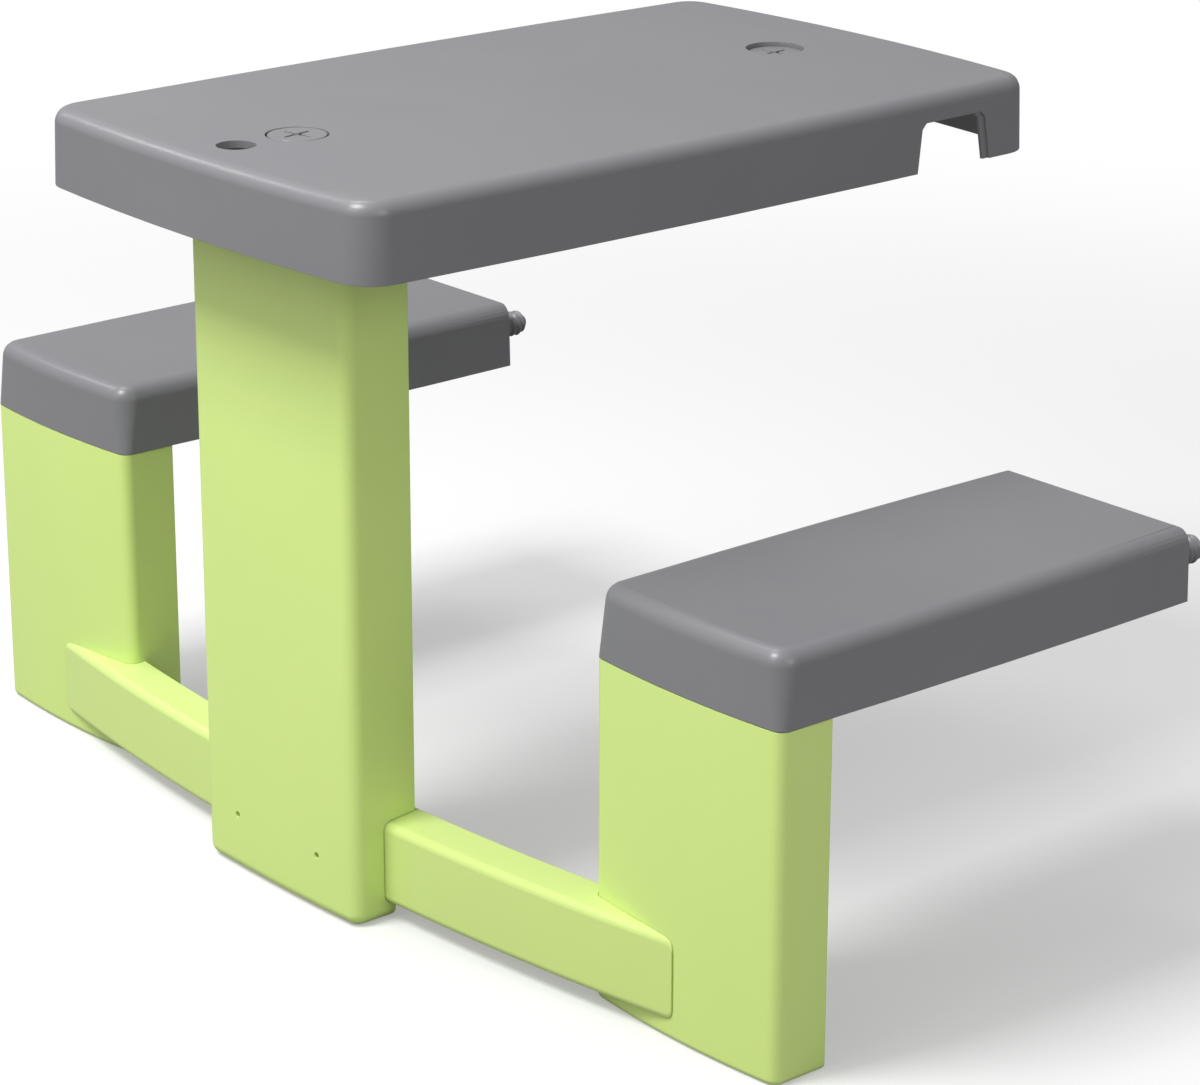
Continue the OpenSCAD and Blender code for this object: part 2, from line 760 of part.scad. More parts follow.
table_top();
near_table_screw();
far_table_screw();
pedestal();
cross_bar();
left_side() leg();  // left_leg
right_side() leg();  // right_leg
left_side() bench_top();  // left_bench_top
right_side() bench_top();  // right_bench_top
left_side() wall_stud(1);  // left_outer_stud
left_side() wall_stud(-1);  // left_inner_stud
right_side() wall_stud(-1);  // right_inner_stud
right_side() wall_stud(1);  // right_outer_stud
pedestal_screw(-1);  // left_pedestal_screw
pedestal_screw(1);  // right_pedestal_screw
left_side() lap_screw(1);  // left_upper_lap_screw
left_side() lap_screw(-1);  // left_lower_lap_screw
right_side() lap_screw(1);  // right_upper_lap_screw
right_side() lap_screw(-1);  // right_lower_lap_screw
left_side() bench_screw(1);  // left_outer_bench_screw
left_side() bench_screw(-1);  // left_inner_bench_screw
right_side() bench_screw(-1);  // right_inner_bench_screw
right_side() bench_screw(1);  // right_outer_bench_screw
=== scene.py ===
"""Looks of a moulded picnic table with two benches, made to hook onto a play house.

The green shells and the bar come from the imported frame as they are. The three grey tops are merged
copies of theirs, whose upper edges roll over more tightly. All get live finishing modifiers and
moulded-plastic materials. Screws and studs are surfaces worked out with numpy: one grid each, with
the angle along its columns and the profile along its rows, whose radius and height follow the
thread and the cross recess. Pieces are in metres in the frame's own axes: +Z up, -Y the free end,
+X the right bench. Sizes are given in millimetres where a name or a docstring says so.
"""

import logging
import math
from dataclasses import dataclass, field, replace
from enum import Enum

import bmesh
import bpy
import numpy as np
from mathutils import Matrix, Vector


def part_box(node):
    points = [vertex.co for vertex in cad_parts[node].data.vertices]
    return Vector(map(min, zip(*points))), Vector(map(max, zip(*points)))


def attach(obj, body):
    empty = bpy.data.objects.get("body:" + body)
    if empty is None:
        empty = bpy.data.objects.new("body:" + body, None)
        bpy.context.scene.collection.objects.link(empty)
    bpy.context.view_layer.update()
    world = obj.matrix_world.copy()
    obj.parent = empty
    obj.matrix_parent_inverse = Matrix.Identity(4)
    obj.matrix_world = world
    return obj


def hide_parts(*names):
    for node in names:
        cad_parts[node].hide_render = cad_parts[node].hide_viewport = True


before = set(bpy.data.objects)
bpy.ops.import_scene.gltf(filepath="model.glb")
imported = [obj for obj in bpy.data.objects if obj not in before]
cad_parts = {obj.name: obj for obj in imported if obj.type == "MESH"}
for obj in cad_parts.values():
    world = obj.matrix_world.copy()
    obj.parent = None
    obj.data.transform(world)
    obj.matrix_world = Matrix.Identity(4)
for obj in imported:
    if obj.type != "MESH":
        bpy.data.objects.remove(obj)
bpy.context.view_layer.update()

log = logging.getLogger("picnic_set")

MM = 0.001
BODY = "root"

# Width in pixels of the picture that the camera's focal length is given for
PICTURE_W = 1200
# Edges of worked-out surfaces that bend by more than this stay sharp
SHARP_DEG = 40.0


class Tip(Enum):
    """How the far end of a threaded shank is closed."""

    CONE = "cone"
    DOME = "dome"


class Slot(Enum):
    """The record's material slots."""

    GREY_SHELL = "grey_shell"
    GREEN_SHELL = "green_shell"
    GREEN_BAR = "green_bar"
    GREY_SCREW = "grey_screw"
    ZINC_SCREW = "zinc_screw"


def linear(hex_colour: str) -> tuple[float, float, float, float]:
    """Turns an sRGB hex colour into linear RGBA.

    Args:
        hex_colour: Six hex digits after a number sign.

    Returns:
        Linear red, green and blue, and an alpha of one.
    """
    parts = (int(hex_colour[i:i + 2], 16) / 255 for i in (1, 3, 5))
    rgb = [c / 12.92 if c <= 0.04045 else ((c + 0.055) / 1.055) ** 2.4 for c in parts]
    return (*rgb, 1.0)


def add_node(
    tree: bpy.types.NodeTree, kind: str, links: dict[str | int, object] | None = None, **settings: object,
) -> bpy.types.Node:
    """Adds one node, sets it up and links what feeds it.

    Args:
        tree: The node tree that gets the node.
        kind: The node's type name.
        links: Socket name or index to a value, or to the output socket that feeds it.
        settings: Properties of the node itself.

    Returns:
        The new node.
    """
    node = tree.nodes.new(kind)
    for name, value in settings.items():
        setattr(node, name, value)
    for key, value in (links or {}).items():
        if isinstance(value, bpy.types.NodeSocket):
            tree.links.new(value, node.inputs[key])
        else:
            node.inputs[key].default_value = value
    return node


def smooth_step(edge: float, width: float, value: np.ndarray) -> np.ndarray:
    """Goes from 0 to 1 as value rises past edge, over a band of a width: 3t^2 - 2t^3."""
    t = np.clip((value - edge) / width + 0.5, 0.0, 1.0)
    return t * t * (3.0 - 2.0 * t)


# Finishes


@dataclass(frozen=True)
class MouldedPolypropylene:
    """Injection-moulded polypropylene from a spark-eroded mould.

    The mould's fine grain gives a soft, broad sheen with no mirror image in it, slow flow of the
    melt leaves faint lighter and darker clouds, and handled edges are a touch smoother and paler.
    """

    name: str
    colour: str
    cloud_colour: str
    edge_colour: str
    roughness: float = 0.31
    sheen_level: float = 0.5
    # Real spark grain is about 0.15 mm: drawn coarser, so that it shows at all at this size
    grain_mm: float = 0.9
    grain_height_mm: float = 0.012
    roughness_swing: tuple[float, float] = (-0.05, 0.07)
    cloud_mm: float = 90.0
    cloud_band: tuple[float, float] = (0.35, 0.65)
    edge_mm: float = 1.1
    # Match of the normals at which the edge colour starts and at which it is at its most
    edge_match: tuple[float, float] = (0.99, 0.8)
    edge_most: float = 0.5

    def build(self) -> bpy.types.Material:
        """Makes the material.

        Returns:
            A new material that reads object coordinates only.
        """
        material = bpy.data.materials.new(self.name)
        material.use_nodes = True
        tree = material.node_tree
        tree.nodes.clear()
        place = add_node(tree, "ShaderNodeTexCoord").outputs["Object"]
        clouds = add_node(tree, "ShaderNodeTexNoise", {
            "Vector": place, "Scale": 1 / (self.cloud_mm * MM), "Detail": 3.0, "Roughness": 0.5,
        })
        cloud_share = add_node(tree, "ShaderNodeMapRange", {
            "Value": clouds.outputs["Fac"],
            "From Min": self.cloud_band[0], "From Max": self.cloud_band[1],
            "To Min": 0.0, "To Max": 1.0,
        })
        base = add_node(tree, "ShaderNodeMix", {
            "Factor": cloud_share.outputs["Result"],
            "A": linear(self.colour),
            "B": linear(self.cloud_colour),
        }, data_type="RGBA")
        worn = self.edge_share(tree)
        coloured = add_node(tree, "ShaderNodeMix", {
            "Factor": worn, "A": base.outputs["Result"], "B": linear(self.edge_colour),
        }, data_type="RGBA")
        grain = add_node(tree, "ShaderNodeTexNoise", {
            "Vector": place, "Scale": 1 / (self.grain_mm * MM), "Detail": 2.0, "Roughness": 0.6,
        })
        rough = add_node(tree, "ShaderNodeMapRange", {
            "Value": grain.outputs["Fac"],
            "To Min": self.roughness + self.roughness_swing[0],
            "To Max": self.roughness + self.roughness_swing[1],
        })
        rounded = add_node(tree, "ShaderNodeBevel", {"Radius": 0.5 * self.edge_mm * MM}, samples=4)
        bump = add_node(tree, "ShaderNodeBump", {
            "Height": grain.outputs["Fac"], "Distance": self.grain_height_mm * MM, "Strength": 1.0,
            "Normal": rounded.outputs["Normal"],
        })
        shader = add_node(tree, "ShaderNodeBsdfPrincipled", {
            "Base Color": coloured.outputs["Result"], "Roughness": rough.outputs["Result"],
            "Normal": bump.outputs["Normal"], "IOR": 1.49, "Specular IOR Level": self.sheen_level,
        })
        add_node(tree, "ShaderNodeOutputMaterial", {"Surface": shader.outputs["BSDF"]})
        return material

    def edge_share(self, tree: bpy.types.NodeTree) -> bpy.types.NodeSocket:
        """Share of the handled-edge colour: one less the match of the rounded and the true normal."""
        rounded = add_node(tree, "ShaderNodeBevel", {"Radius": self.edge_mm * MM}, samples=4)
        true_normal = add_node(tree, "ShaderNodeNewGeometry").outputs["Normal"]
        match = add_node(tree, "ShaderNodeVectorMath", {0: rounded.outputs["Normal"], 1: true_normal},
                         operation="DOT_PRODUCT")
        share = add_node(tree, "ShaderNodeMapRange", {
            "Value": match.outputs["Value"],
            "From Min": self.edge_match[0], "From Max": self.edge_match[1],
            "To Min": 0.0, "To Max": self.edge_most,
        })
        return share.outputs["Result"]


@dataclass(frozen=True)
class ZincPlatedSteel:
    """Cold-headed steel with bright zinc plating: a grey metal with a faint blue cast and a fine haze."""

    name: str = "zinc_plated_steel"
    colour: str = "#C4C8CC"
    haze_mm: float = 1.5
    roughness: float = 0.3
    roughness_swing: tuple[float, float] = (-0.08, 0.14)

    def build(self) -> bpy.types.Material:
        """Makes the material.

        Returns:
            A new material that reads object coordinates only.
        """
        material = bpy.data.materials.new(self.name)
        material.use_nodes = True
        tree = material.node_tree
        tree.nodes.clear()
        place = add_node(tree, "ShaderNodeTexCoord").outputs["Object"]
        haze = add_node(tree, "ShaderNodeTexNoise", {
            "Vector": place, "Scale": 1 / (self.haze_mm * MM), "Detail": 3.0,
        })
        rough = add_node(tree, "ShaderNodeMapRange", {
            "Value": haze.outputs["Fac"],
            "To Min": self.roughness + self.roughness_swing[0],
            "To Max": self.roughness + self.roughness_swing[1],
        })
        shader = add_node(tree, "ShaderNodeBsdfPrincipled", {
            "Base Color": linear(self.colour), "Metallic": 1.0, "Roughness": rough.outputs["Result"],
        })
        add_node(tree, "ShaderNodeOutputMaterial", {"Surface": shader.outputs["BSDF"]})
        return material


# Surfaces


def grid_faces(rows: int, columns: int) -> list[list[int]]:
    """Faces of a grid that closes on itself along its columns, with a point at each end.

    Args:
        rows: Rings of points between the two end points.
        columns: Points in a ring.

    Returns:
        Quads between the rings and triangles to the first and the last point, facing outwards when
        the rings turn anticlockwise about the way they advance.
    """
    i, j = np.meshgrid(np.arange(rows - 1), np.arange(columns), indexing="ij")
    a = 1 + i * columns + j
    b = 1 + i * columns + (j + 1) % columns
    quads = np.stack([a, b, b + columns, a + columns], axis=-1).reshape(-1, 4)
    k = np.arange(columns)
    near, far = 1 + k, 1 + (rows - 1) * columns + k
    near_next, far_next = 1 + (k + 1) % columns, 1 + (rows - 1) * columns + (k + 1) % columns
    first = np.stack([np.zeros_like(k), near_next, near], axis=-1)
    last = np.stack([np.full_like(k, 1 + rows * columns), far, far_next], axis=-1)
    return quads.tolist() + first.tolist() + last.tolist()


def surface_object(name: str, points: np.ndarray, faces: list[list[int]]) -> bpy.types.Object:
    """Puts worked-out points and faces into a smooth-shaded object at the origin.

    Args:
        name: Name of the piece.
        points: Array of shape (count, 3), in metres, in the frame.
        faces: Indices of each face's points.

    Returns:
        The new object, linked to the scene.
    """
    mesh = bpy.data.meshes.new(name)
    mesh.from_pydata([tuple(p) for p in points.tolist()], [], faces)
    mesh.validate()
    mesh.polygons.foreach_set("use_smooth", np.ones(len(mesh.polygons), dtype=bool))
    mesh.set_sharp_from_angle(angle=math.radians(SHARP_DEG))
    mesh.update()
    piece = bpy.data.objects.new(name, mesh)
    bpy.context.scene.collection.objects.link(piece)
    return piece


def circles_meet(a: np.ndarray, a_r: float, b: np.ndarray, b_r: float, side: float) -> np.ndarray:
    """Where two circles cross, on the left (1) or the right (-1) of the line from a to b."""
    length = float(np.hypot(*(b - a)))
    ahead = (b - a) / length
    along = (a_r ** 2 - b_r ** 2 + length ** 2) / (2 * length)
    return a + along * ahead + side * math.sqrt(a_r ** 2 - along ** 2) * np.array([-ahead[1], ahead[0]])


@dataclass(frozen=True)
class BowedPlan:
    """Outline of a moulded top from above, in millimetres: bowed ends and sides with round corners.

    Each end and side is an arc of radius (chord^2 / 4 + bow^2) / (2 bow), and a corner's arc has its
    middle where the arcs of its end and its side, drawn in by the corner's radius, cross.
    """

    half_w: float
    side_bow: float
    near_y: float
    near_bow: float
    far_y: float
    far_bow: float
    corner_r: float
    middle_x: float = 0.0
    wedge_slack: float = 0.01

    def arcs(self) -> tuple[np.ndarray, np.ndarray]:
        """Middles and radii of the near end's, the far end's and the right side's arcs."""
        low, high = self.near_y + self.near_bow, self.far_y - self.far_bow
        chords = np.array([2 * self.half_w, 2 * self.half_w, high - low])
        bows = np.array([self.near_bow, self.far_bow, self.side_bow])
        radii = (chords ** 2 / 4 + bows ** 2) / (2 * bows)
        middles = np.array([
            [0.0, self.near_y + radii[0]],
            [0.0, self.far_y - radii[1]],
            [self.half_w + self.side_bow - radii[2], (low + high) / 2],
        ])
        return middles, radii

    def folded(self, points: np.ndarray) -> tuple[np.ndarray, np.ndarray]:
        """Folds the left half over the right one: the points, and what each one's x is multiplied by."""
        side = np.where(points[:, 0] < self.middle_x, -1.0, 1.0)
        return np.stack([np.abs(points[:, 0] - self.middle_x), points[:, 1]], axis=-1), side

    def corners(self, right: np.ndarray) -> list[tuple[np.ndarray, np.ndarray, np.ndarray, np.ndarray]]:
        """Looks at the near and the far right corner.

        Args:
            right: Array of shape (count, 2), folded to the right half.

        Returns:
            For each corner its arc's middle, every point's direction and distance from it, and
            whether the point lies in the wedge between the arc's two ends.
        """
        middles, radii = self.arcs()
        drawn = radii - self.corner_r
        found = []
        for end, left in ((0, 1.0), (1, -1.0)):
            corner = circles_meet(middles[end], drawn[end], middles[2], drawn[2], left)
            length = np.maximum(np.linalg.norm(right - corner, axis=-1), 1e-6)
            spoke = (right - corner) / length[:, None]
            to_end = (corner - middles[end]) / drawn[end]
            to_side = (corner - middles[2]) / drawn[2]
            past_end = left * (to_end[0] * spoke[:, 1] - to_end[1] * spoke[:, 0]) > -self.wedge_slack
            past_side = left * (spoke[:, 0] * to_side[1] - spoke[:, 1] * to_side[0]) > -self.wedge_slack
            found.append((corner, spoke, length, past_end & past_side))
        return found

    def inset(self, points: np.ndarray) -> tuple[np.ndarray, np.ndarray]:
        """Measures how far inside the outline each point lies.

        Args:
            points: Array of shape (count, 2), in millimetres.

        Returns:
            The distances, and the unit directions straight out to the outline.
        """
        right, side = self.folded(points)
        middles, radii = self.arcs()
        away = right[None] - middles[:, None]
        reach = np.linalg.norm(away, axis=-1)
        closest = (radii[:, None] - reach).argmin(axis=0)
        row = np.arange(len(points))
        inset = radii[closest] - reach[closest, row]
        out = away[closest, row] / reach[closest, row, None]
        for _, spoke, length, inside in self.corners(right):
            inset = np.where(inside, self.corner_r - length, inset)
            out = np.where(inside[:, None], spoke, out)
        return inset, out * np.stack([side, np.ones_like(side)], axis=-1)

    def rounded(self, points: np.ndarray, corner_r: float) -> np.ndarray:
        """Gives the corners another radius: a point keeps its direction and its distance inside.

        Args:
            points: Array of shape (count, 2), in millimetres.
            corner_r: The new radius.

        Returns:
            The points, with those in the corners' wedges moved.
        """
        right, side = self.folded(points)
        grown = corner_r - self.corner_r
        moved = right
        for before, after in zip(self.corners(right), replace(self, corner_r=corner_r).corners(right)):
            _, spoke, length, inside = before
            shifted = after[0] + spoke * (length + grown)[:, None]
            moved = np.where((inside & (length > grown))[:, None], shifted, moved)
        return np.stack([moved[:, 0] * side + self.middle_x, moved[:, 1]], axis=-1)


@dataclass(frozen=True)
class RolledEdge:
    """Round edge between a top's leaning wall and its flat face, in millimetres.

    At a turn from level the roll lies (rim - r) tan(draft) + r / cos(draft) - r cos(turn) inside the
    outline and r (1 - sin(turn)) below the face. A point keeps its turn when the radius changes.
    The plan is the frame's, and its corners get the radius that shows first.
    """

    plan: BowedPlan
    face_z: float
    rim: float
    frame_r: float
    shown_r: float
    shown_corner_r: float
    draft_deg: float = 1.9
    near: float = 0.4
    sine_slack: float = 0.001

    def drawn(self, radius: float, cosine: np.ndarray) -> np.ndarray:
        """Distance inside the outline, from the roll's radius and the cosine of the turn."""
        draft = math.radians(self.draft_deg)
        return (self.rim - radius) * math.tan(draft) + radius / math.cos(draft) - radius * cosine

    def tightened(self, points: np.ndarray) -> np.ndarray:
        """Rounds the corners and moves the points on the frame's roll to the one that shows.

        Args:
            points: Array of shape (count, 3), in millimetres.

        Returns:
            The points with the corners and the roll that show.
        """
        far_y = points[:, 1].max()
        level = self.plan.rounded(points[:, :2], self.shown_corner_r)
        points = np.concatenate([level, points[:, 2:]], axis=-1)
        inset, out = replace(self.plan, corner_r=self.shown_corner_r).inset(level)
        sine = np.clip((points[:, 2] - self.face_z) / self.frame_r + 1, 0.0, 1.0)
        cosine = np.sqrt(1 - sine ** 2)
        drawn = self.drawn(self.frame_r, cosine)
        lowest = math.sin(math.radians(self.draft_deg)) - self.sine_slack
        on_roll = (sine > lowest) & (np.abs(inset - drawn) < self.near)
        step = np.where(on_roll, drawn - self.drawn(self.shown_r, cosine), 0.0)
        lift = np.where(on_roll, (self.frame_r - self.shown_r) * (1 - sine), 0.0)
        moved = points + np.concatenate([step[:, None] * out, lift[:, None]], axis=-1)
        moved[:, 1] = np.minimum(moved[:, 1], far_y)
        log.info("tightened a roll at %d of %d points", int(on_roll.sum()), len(points))
        return moved


@dataclass(frozen=True)
class CrossRecess:
    """Recess of two crossed slots whose arms grow narrower and shallower outwards, in millimetres."""

    span: float
    arm: float
    depth: float
    narrowing: float = 0.35
    rise: float = 0.4
    wall: float = 0.12
    inner_columns: int = 3
    # Share of an eighth of a turn that is kept free for columns that would fall together
    spread: float = 0.06

    def half_arm(self, radius: np.ndarray) -> np.ndarray:
        """Half an arm's width at a radius: it falls evenly by the narrowing out to half the span."""
        return 0.5 * self.arm * (1 - self.narrowing * np.minimum(2 * radius / self.span, 1.0))

    def turns(self, radii: np.ndarray, columns: int) -> np.ndarray:
        """Places the columns of every ring so that some of them run along the arms' edges.

        In each eighth of a turn, from the middle of an arm to the diagonal, a column lies at the angle
        asin(distance across / radius): the first ones at even distances over the half arm, the next
        one just past its wall, and the rest at even angles from there to the diagonal.

        Args:
            radii: Radius of each ring.
            columns: Points in a ring, a multiple of eight.

        Returns:
            Angles in whole turns, of shape (rings, columns).
        """
        eighth = columns // 8
        step = np.arange(eighth + 1)[None, :]
        edge = self.half_arm(radii)[:, None]
        low = (edge - 0.5 * self.wall) * step / self.inner_columns
        across = np.where(step <= self.inner_columns, low, edge + 0.5 * self.wall)
        angle = np.arcsin(np.clip(across / radii[:, None], 0.0, math.sqrt(0.5)))
        share = np.clip((step - self.inner_columns - 1) / (eighth - self.inner_columns - 1), 0.0, 1.0)
        angle = angle + (math.pi / 4 - angle) * share
        angle = np.minimum(angle, math.pi / 4 * (1 - self.spread + self.spread * step / eighth))
        quarter = np.concatenate([angle, math.pi / 2 - angle[:, -2:0:-1]], axis=1)
        return np.concatenate([quarter / (2 * math.pi) + k / 4 for k in range(4)], axis=1)

    def sink(self, x: np.ndarray, y: np.ndarray) -> np.ndarray:
        """Depth at a point: full in the middle, less by the rise at the arms' tips, none past the walls."""
        radius = np.hypot(x, y)
        past_edge = smooth_step(0.0, self.wall, np.minimum(np.abs(x), np.abs(y)) - self.half_arm(radius))
        past_tip = smooth_step(0.5 * self.span, self.wall, radius)
        return self.depth * (1 - self.rise * 2 * radius / self.span) * (1 - past_edge) * (1 - past_tip)

    def rings(self, outer: float) -> np.ndarray:
        """Radii of the rings on the head's top, with one each side of the wall at the arms' tips."""
        tip = 0.5 * self.span
        inside = np.linspace(0.04, 1.0, 10) * (tip - 0.5 * self.wall)
        return np.concatenate([inside, np.linspace(tip + 0.5 * self.wall, outer, 5)])


@dataclass(frozen=True)
class Key:
    """Straight-sided lobe on one side of a round flange, which keeps a stud from turning."""

    width: float
    length: float

    def outline(self, angle: np.ndarray, radius: float) -> np.ndarray:
        """Radius of the flange's outline: the circle's, or the lobe's where that reaches further.

        The lobe's is the smaller of length / cos and half the width / |sin|, on its own side only.
        """
        end = self.length / np.maximum(np.cos(angle), 1e-6)
        side = 0.5 * self.width / np.maximum(np.abs(np.sin(angle)), 1e-6)
        return np.maximum(radius, np.where(np.cos(angle) > 0, np.minimum(end, side), 0.0))


@dataclass(frozen=True)
class Screw:
    """A headed screw or stud as one closed surface, in millimetres about its own seat.

    Along its own axis w the head lies below zero and the shank above it. The shank's radius is the
    root's plus depth x (0.5 + 0.5 cos(2 pi (w / pitch - turn)))^sharp, faded at both ends.
    """

    head_r: float
    head_t: float
    shank_r: float
    shank_l: float
    pitch: float
    thread_depth: float
    rim_r: float
    crown: float = 0.0
    recess: CrossRecess | None = None
    key: Key | None = None
    tip: Tip = Tip.CONE
    columns: int = 96
    plain_l: float = 3.0
    sharp: float = 1.0
    rows_a_turn: int = 16
    # How far below the rim and in from it the rings next to the head's lower corner lie
    seat_gap: float = 0.3
    # A cone tip's length, its narrowing, and where the thread ends before a tip, in shank radii
    cone_l: float = 0.8
    cone_taper: float = 0.45
    fade_l: float = 0.6

    def head_rows(self) -> tuple[np.ndarray, np.ndarray]:
        """Radii and heights of the head's rings, from the middle of its top over its rim to its seat."""
        top_r = self.head_r - self.rim_r
        inner = self.recess.rings(top_r) if self.recess else np.linspace(0.3, 1.0, 6) * top_r
        dome = -self.head_t - self.crown * (1 - (inner / self.head_r) ** 2)
        turn = np.linspace(0.0, math.pi / 2, 7)[1:]
        seat = np.linspace(self.head_r - self.seat_gap, self.shank_r, 4)
        radii = np.concatenate([inner, top_r + self.rim_r * np.sin(turn), [self.head_r], seat])
        rim = dome[-1] + self.rim_r * (1 - np.cos(turn))
        heights = np.concatenate([dome, rim, [-self.seat_gap], np.zeros(len(seat))])
        return radii, heights

    def shank_rows(self) -> tuple[np.ndarray, np.ndarray]:
        """Radii and heights of the shank's rings at the thread's outside, from the seat to the tip."""
        end_l = self.shank_r if self.tip is Tip.DOME else self.cone_l * self.shank_r
        steps = int((self.shank_l - end_l) / self.pitch * self.rows_a_turn)
        share = np.linspace(0.0, 1.0, 15)[1:-1]
        turn = share * math.pi / 2
        end_r = np.cos(turn) if self.tip is Tip.DOME else 1 - self.cone_taper * share
        end_w = np.sin(turn) if self.tip is Tip.DOME else share
        radii = self.shank_r * np.concatenate([np.ones(steps), end_r])
        straight = np.linspace(0.05, self.shank_l - end_l, steps)
        return radii, np.concatenate([straight, self.shank_l - end_l + end_l * end_w])

    def threaded(self, radii: np.ndarray, heights: np.ndarray, turn: np.ndarray) -> np.ndarray:
        """Radius of each point of the shank, with the thread cut into it."""
        wave = (0.5 + 0.5 * np.cos(2 * math.pi * (heights / self.pitch - turn))) ** self.sharp
        starts = smooth_step(self.plain_l, self.pitch, heights)
        ends = 1 - smooth_step(self.shank_l - self.fade_l * self.shank_r, self.pitch, heights)
        return radii - self.thread_depth * (1 - wave * starts * ends) * smooth_step(0.2, 0.4, heights)

    def points(self) -> tuple[np.ndarray, int]:
        """Works out every point of the surface in the screw's own axes.

        Returns:
            Points of shape (count, 3) in millimetres, and the number of rings between the ends.
        """
        head_r, head_w = self.head_rows()
        shank_r, shank_w = self.shank_rows()
        radii = np.concatenate([head_r, shank_r])[:, None]
        turn = np.linspace(0.0, 1.0, self.columns, endpoint=False)[None, :] + np.zeros_like(radii)
        if self.recess:
            top_r = self.head_r - self.rim_r
            followed = np.concatenate([np.minimum(head_r, top_r), np.full(len(shank_r), top_r)])
            turn = self.recess.turns(followed, self.columns)
        w = np.concatenate([head_w, shank_w])[:, None] + np.zeros_like(turn)
        angle = 2 * math.pi * turn
        in_head = np.arange(len(radii))[:, None] < len(head_r)
        r = np.where(in_head, radii, self.threaded(radii, w, turn))
        if self.key:
            reach = (self.key.outline(angle, self.head_r) - self.shank_r) / (self.head_r - self.shank_r)
            r = np.where(in_head & (r > self.shank_r), self.shank_r + (r - self.shank_r) * reach, r)
        x = r * np.cos(angle)
        y = r * np.sin(angle)
        middle = -self.head_t - self.crown
        if self.recess:
            w = w + np.where(in_head & (w < -self.rim_r), self.recess.sink(x, y), 0.0)
            middle += self.recess.depth
        rings = np.stack([x, y, w], axis=-1).reshape(-1, 3)
        return np.concatenate([[[0.0, 0.0, middle]], rings, [[0.0, 0.0, self.shank_l]]]), len(radii)

    def build(self, name: str, seat: Vector, axis: Vector, first_side: Vector) -> bpy.types.Object:
        """Makes the screw's object.

        Args:
            name: Name of the piece.
            seat: Where the head's seat meets the axis, in metres.
            axis: Unit direction in which the shank goes.
            first_side: Unit direction, square to the shank, that an arm of the recess or the key points in.

        Returns:
            The finished piece, at the origin with its place in its mesh.
        """
        local, rows = self.points()
        third = np.array(axis)
        first = np.array(first_side)
        world = np.array(seat) + MM * (local @ np.stack([first, np.cross(third, first), third]))
        return surface_object(name, world, grid_faces(rows, self.columns))


# Sub-assemblies


@dataclass
class Finishes:
    """The materials of the whole set, one for each slot of the record."""

    made: dict[Slot, bpy.types.Material] = field(default_factory=dict)

    def __post_init__(self) -> None:
        """Builds each finish once."""
        grey = {"colour": "#7F7F83", "cloud_colour": "#818184", "edge_colour": "#929296"}
        self.made = {
            Slot.GREY_SHELL: MouldedPolypropylene("grey_polypropylene", **grey).build(),
            Slot.GREY_SCREW: MouldedPolypropylene("grey_screw_plastic", roughness=0.32, **grey).build(),
            Slot.GREEN_SHELL: MouldedPolypropylene(
                "green_polypropylene", "#D9F28E", "#DBF390", "#E0F39F").build(),
            Slot.GREEN_BAR: MouldedPolypropylene(
                "green_bar_polypropylene", "#D7EE90", "#D9EF90", "#DFF0A0").build(),
            Slot.ZINC_SCREW: ZincPlatedSteel().build(),
        }


@dataclass
class Shell:
    """A moulded shell that the frame gives, welded, shaded smooth and dressed.

    Where the photograph shows a tighter rolled edge than the frame has, a copy stands for the node.
    """

    node: str
    slot: Slot
    edge: RolledEdge | None = None
    weld_mm: float = 0.005
    crease_deg: float = 32.0
    flat_face_weight: int = 80

    def rolled_copy(self) -> bpy.types.Object:
        """Makes a merged copy of the node with the tighter edge, which then stands for the node."""
        work = bmesh.new()
        work.from_mesh(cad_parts[self.node].data)
        bmesh.ops.remove_doubles(work, verts=work.verts, dist=self.weld_mm * MM)
        mesh = bpy.data.meshes.new(f"{self.node}_rolled")
        work.to_mesh(mesh)
        work.free()
        flat = np.empty(3 * len(mesh.vertices), dtype=np.float32)
        mesh.vertices.foreach_get("co", flat)
        moved = self.edge.tightened(flat.reshape(-1, 3).astype(float) / MM) * MM
        mesh.vertices.foreach_set("co", moved.astype(np.float32).ravel())
        mesh.update()
        piece = bpy.data.objects.new(mesh.name, mesh)
        bpy.context.scene.collection.objects.link(piece)
        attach(piece, BODY)
        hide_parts(self.node)
        return piece

    def dress(self, finishes: Finishes) -> None:
        """Gives the node, or the copy that stands for it, its material and finishing modifiers."""
        piece = self.rolled_copy() if self.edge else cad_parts[self.node]
        piece.data.materials.clear()
        piece.data.materials.append(finishes.made[self.slot])
        weld = piece.modifiers.new("weld", "WELD")
        weld.merge_threshold = self.weld_mm * MM
        smooth = piece.modifiers.new("smooth", "NODES")
        smooth.node_group = smooth_by_angle(self.crease_deg)
        weighted = piece.modifiers.new("weighted", "WEIGHTED_NORMAL")
        weighted.keep_sharp = True
        weighted.weight = self.flat_face_weight
        log.info("dressed %s in %s", self.node, self.slot.value)


def table_edge() -> RolledEdge:
    """The table top's edge. The roll lies between what the photograph's shading and outline show."""
    plan = BowedPlan(half_w=156.5, side_bow=5.0, near_y=-263.0, near_bow=8.0, far_y=263.0, far_bow=11.0,
                     corner_r=17.5)
    return RolledEdge(plan, face_z=460.0, rim=46.0, frame_r=12.0, shown_r=9.0, shown_corner_r=22.5)


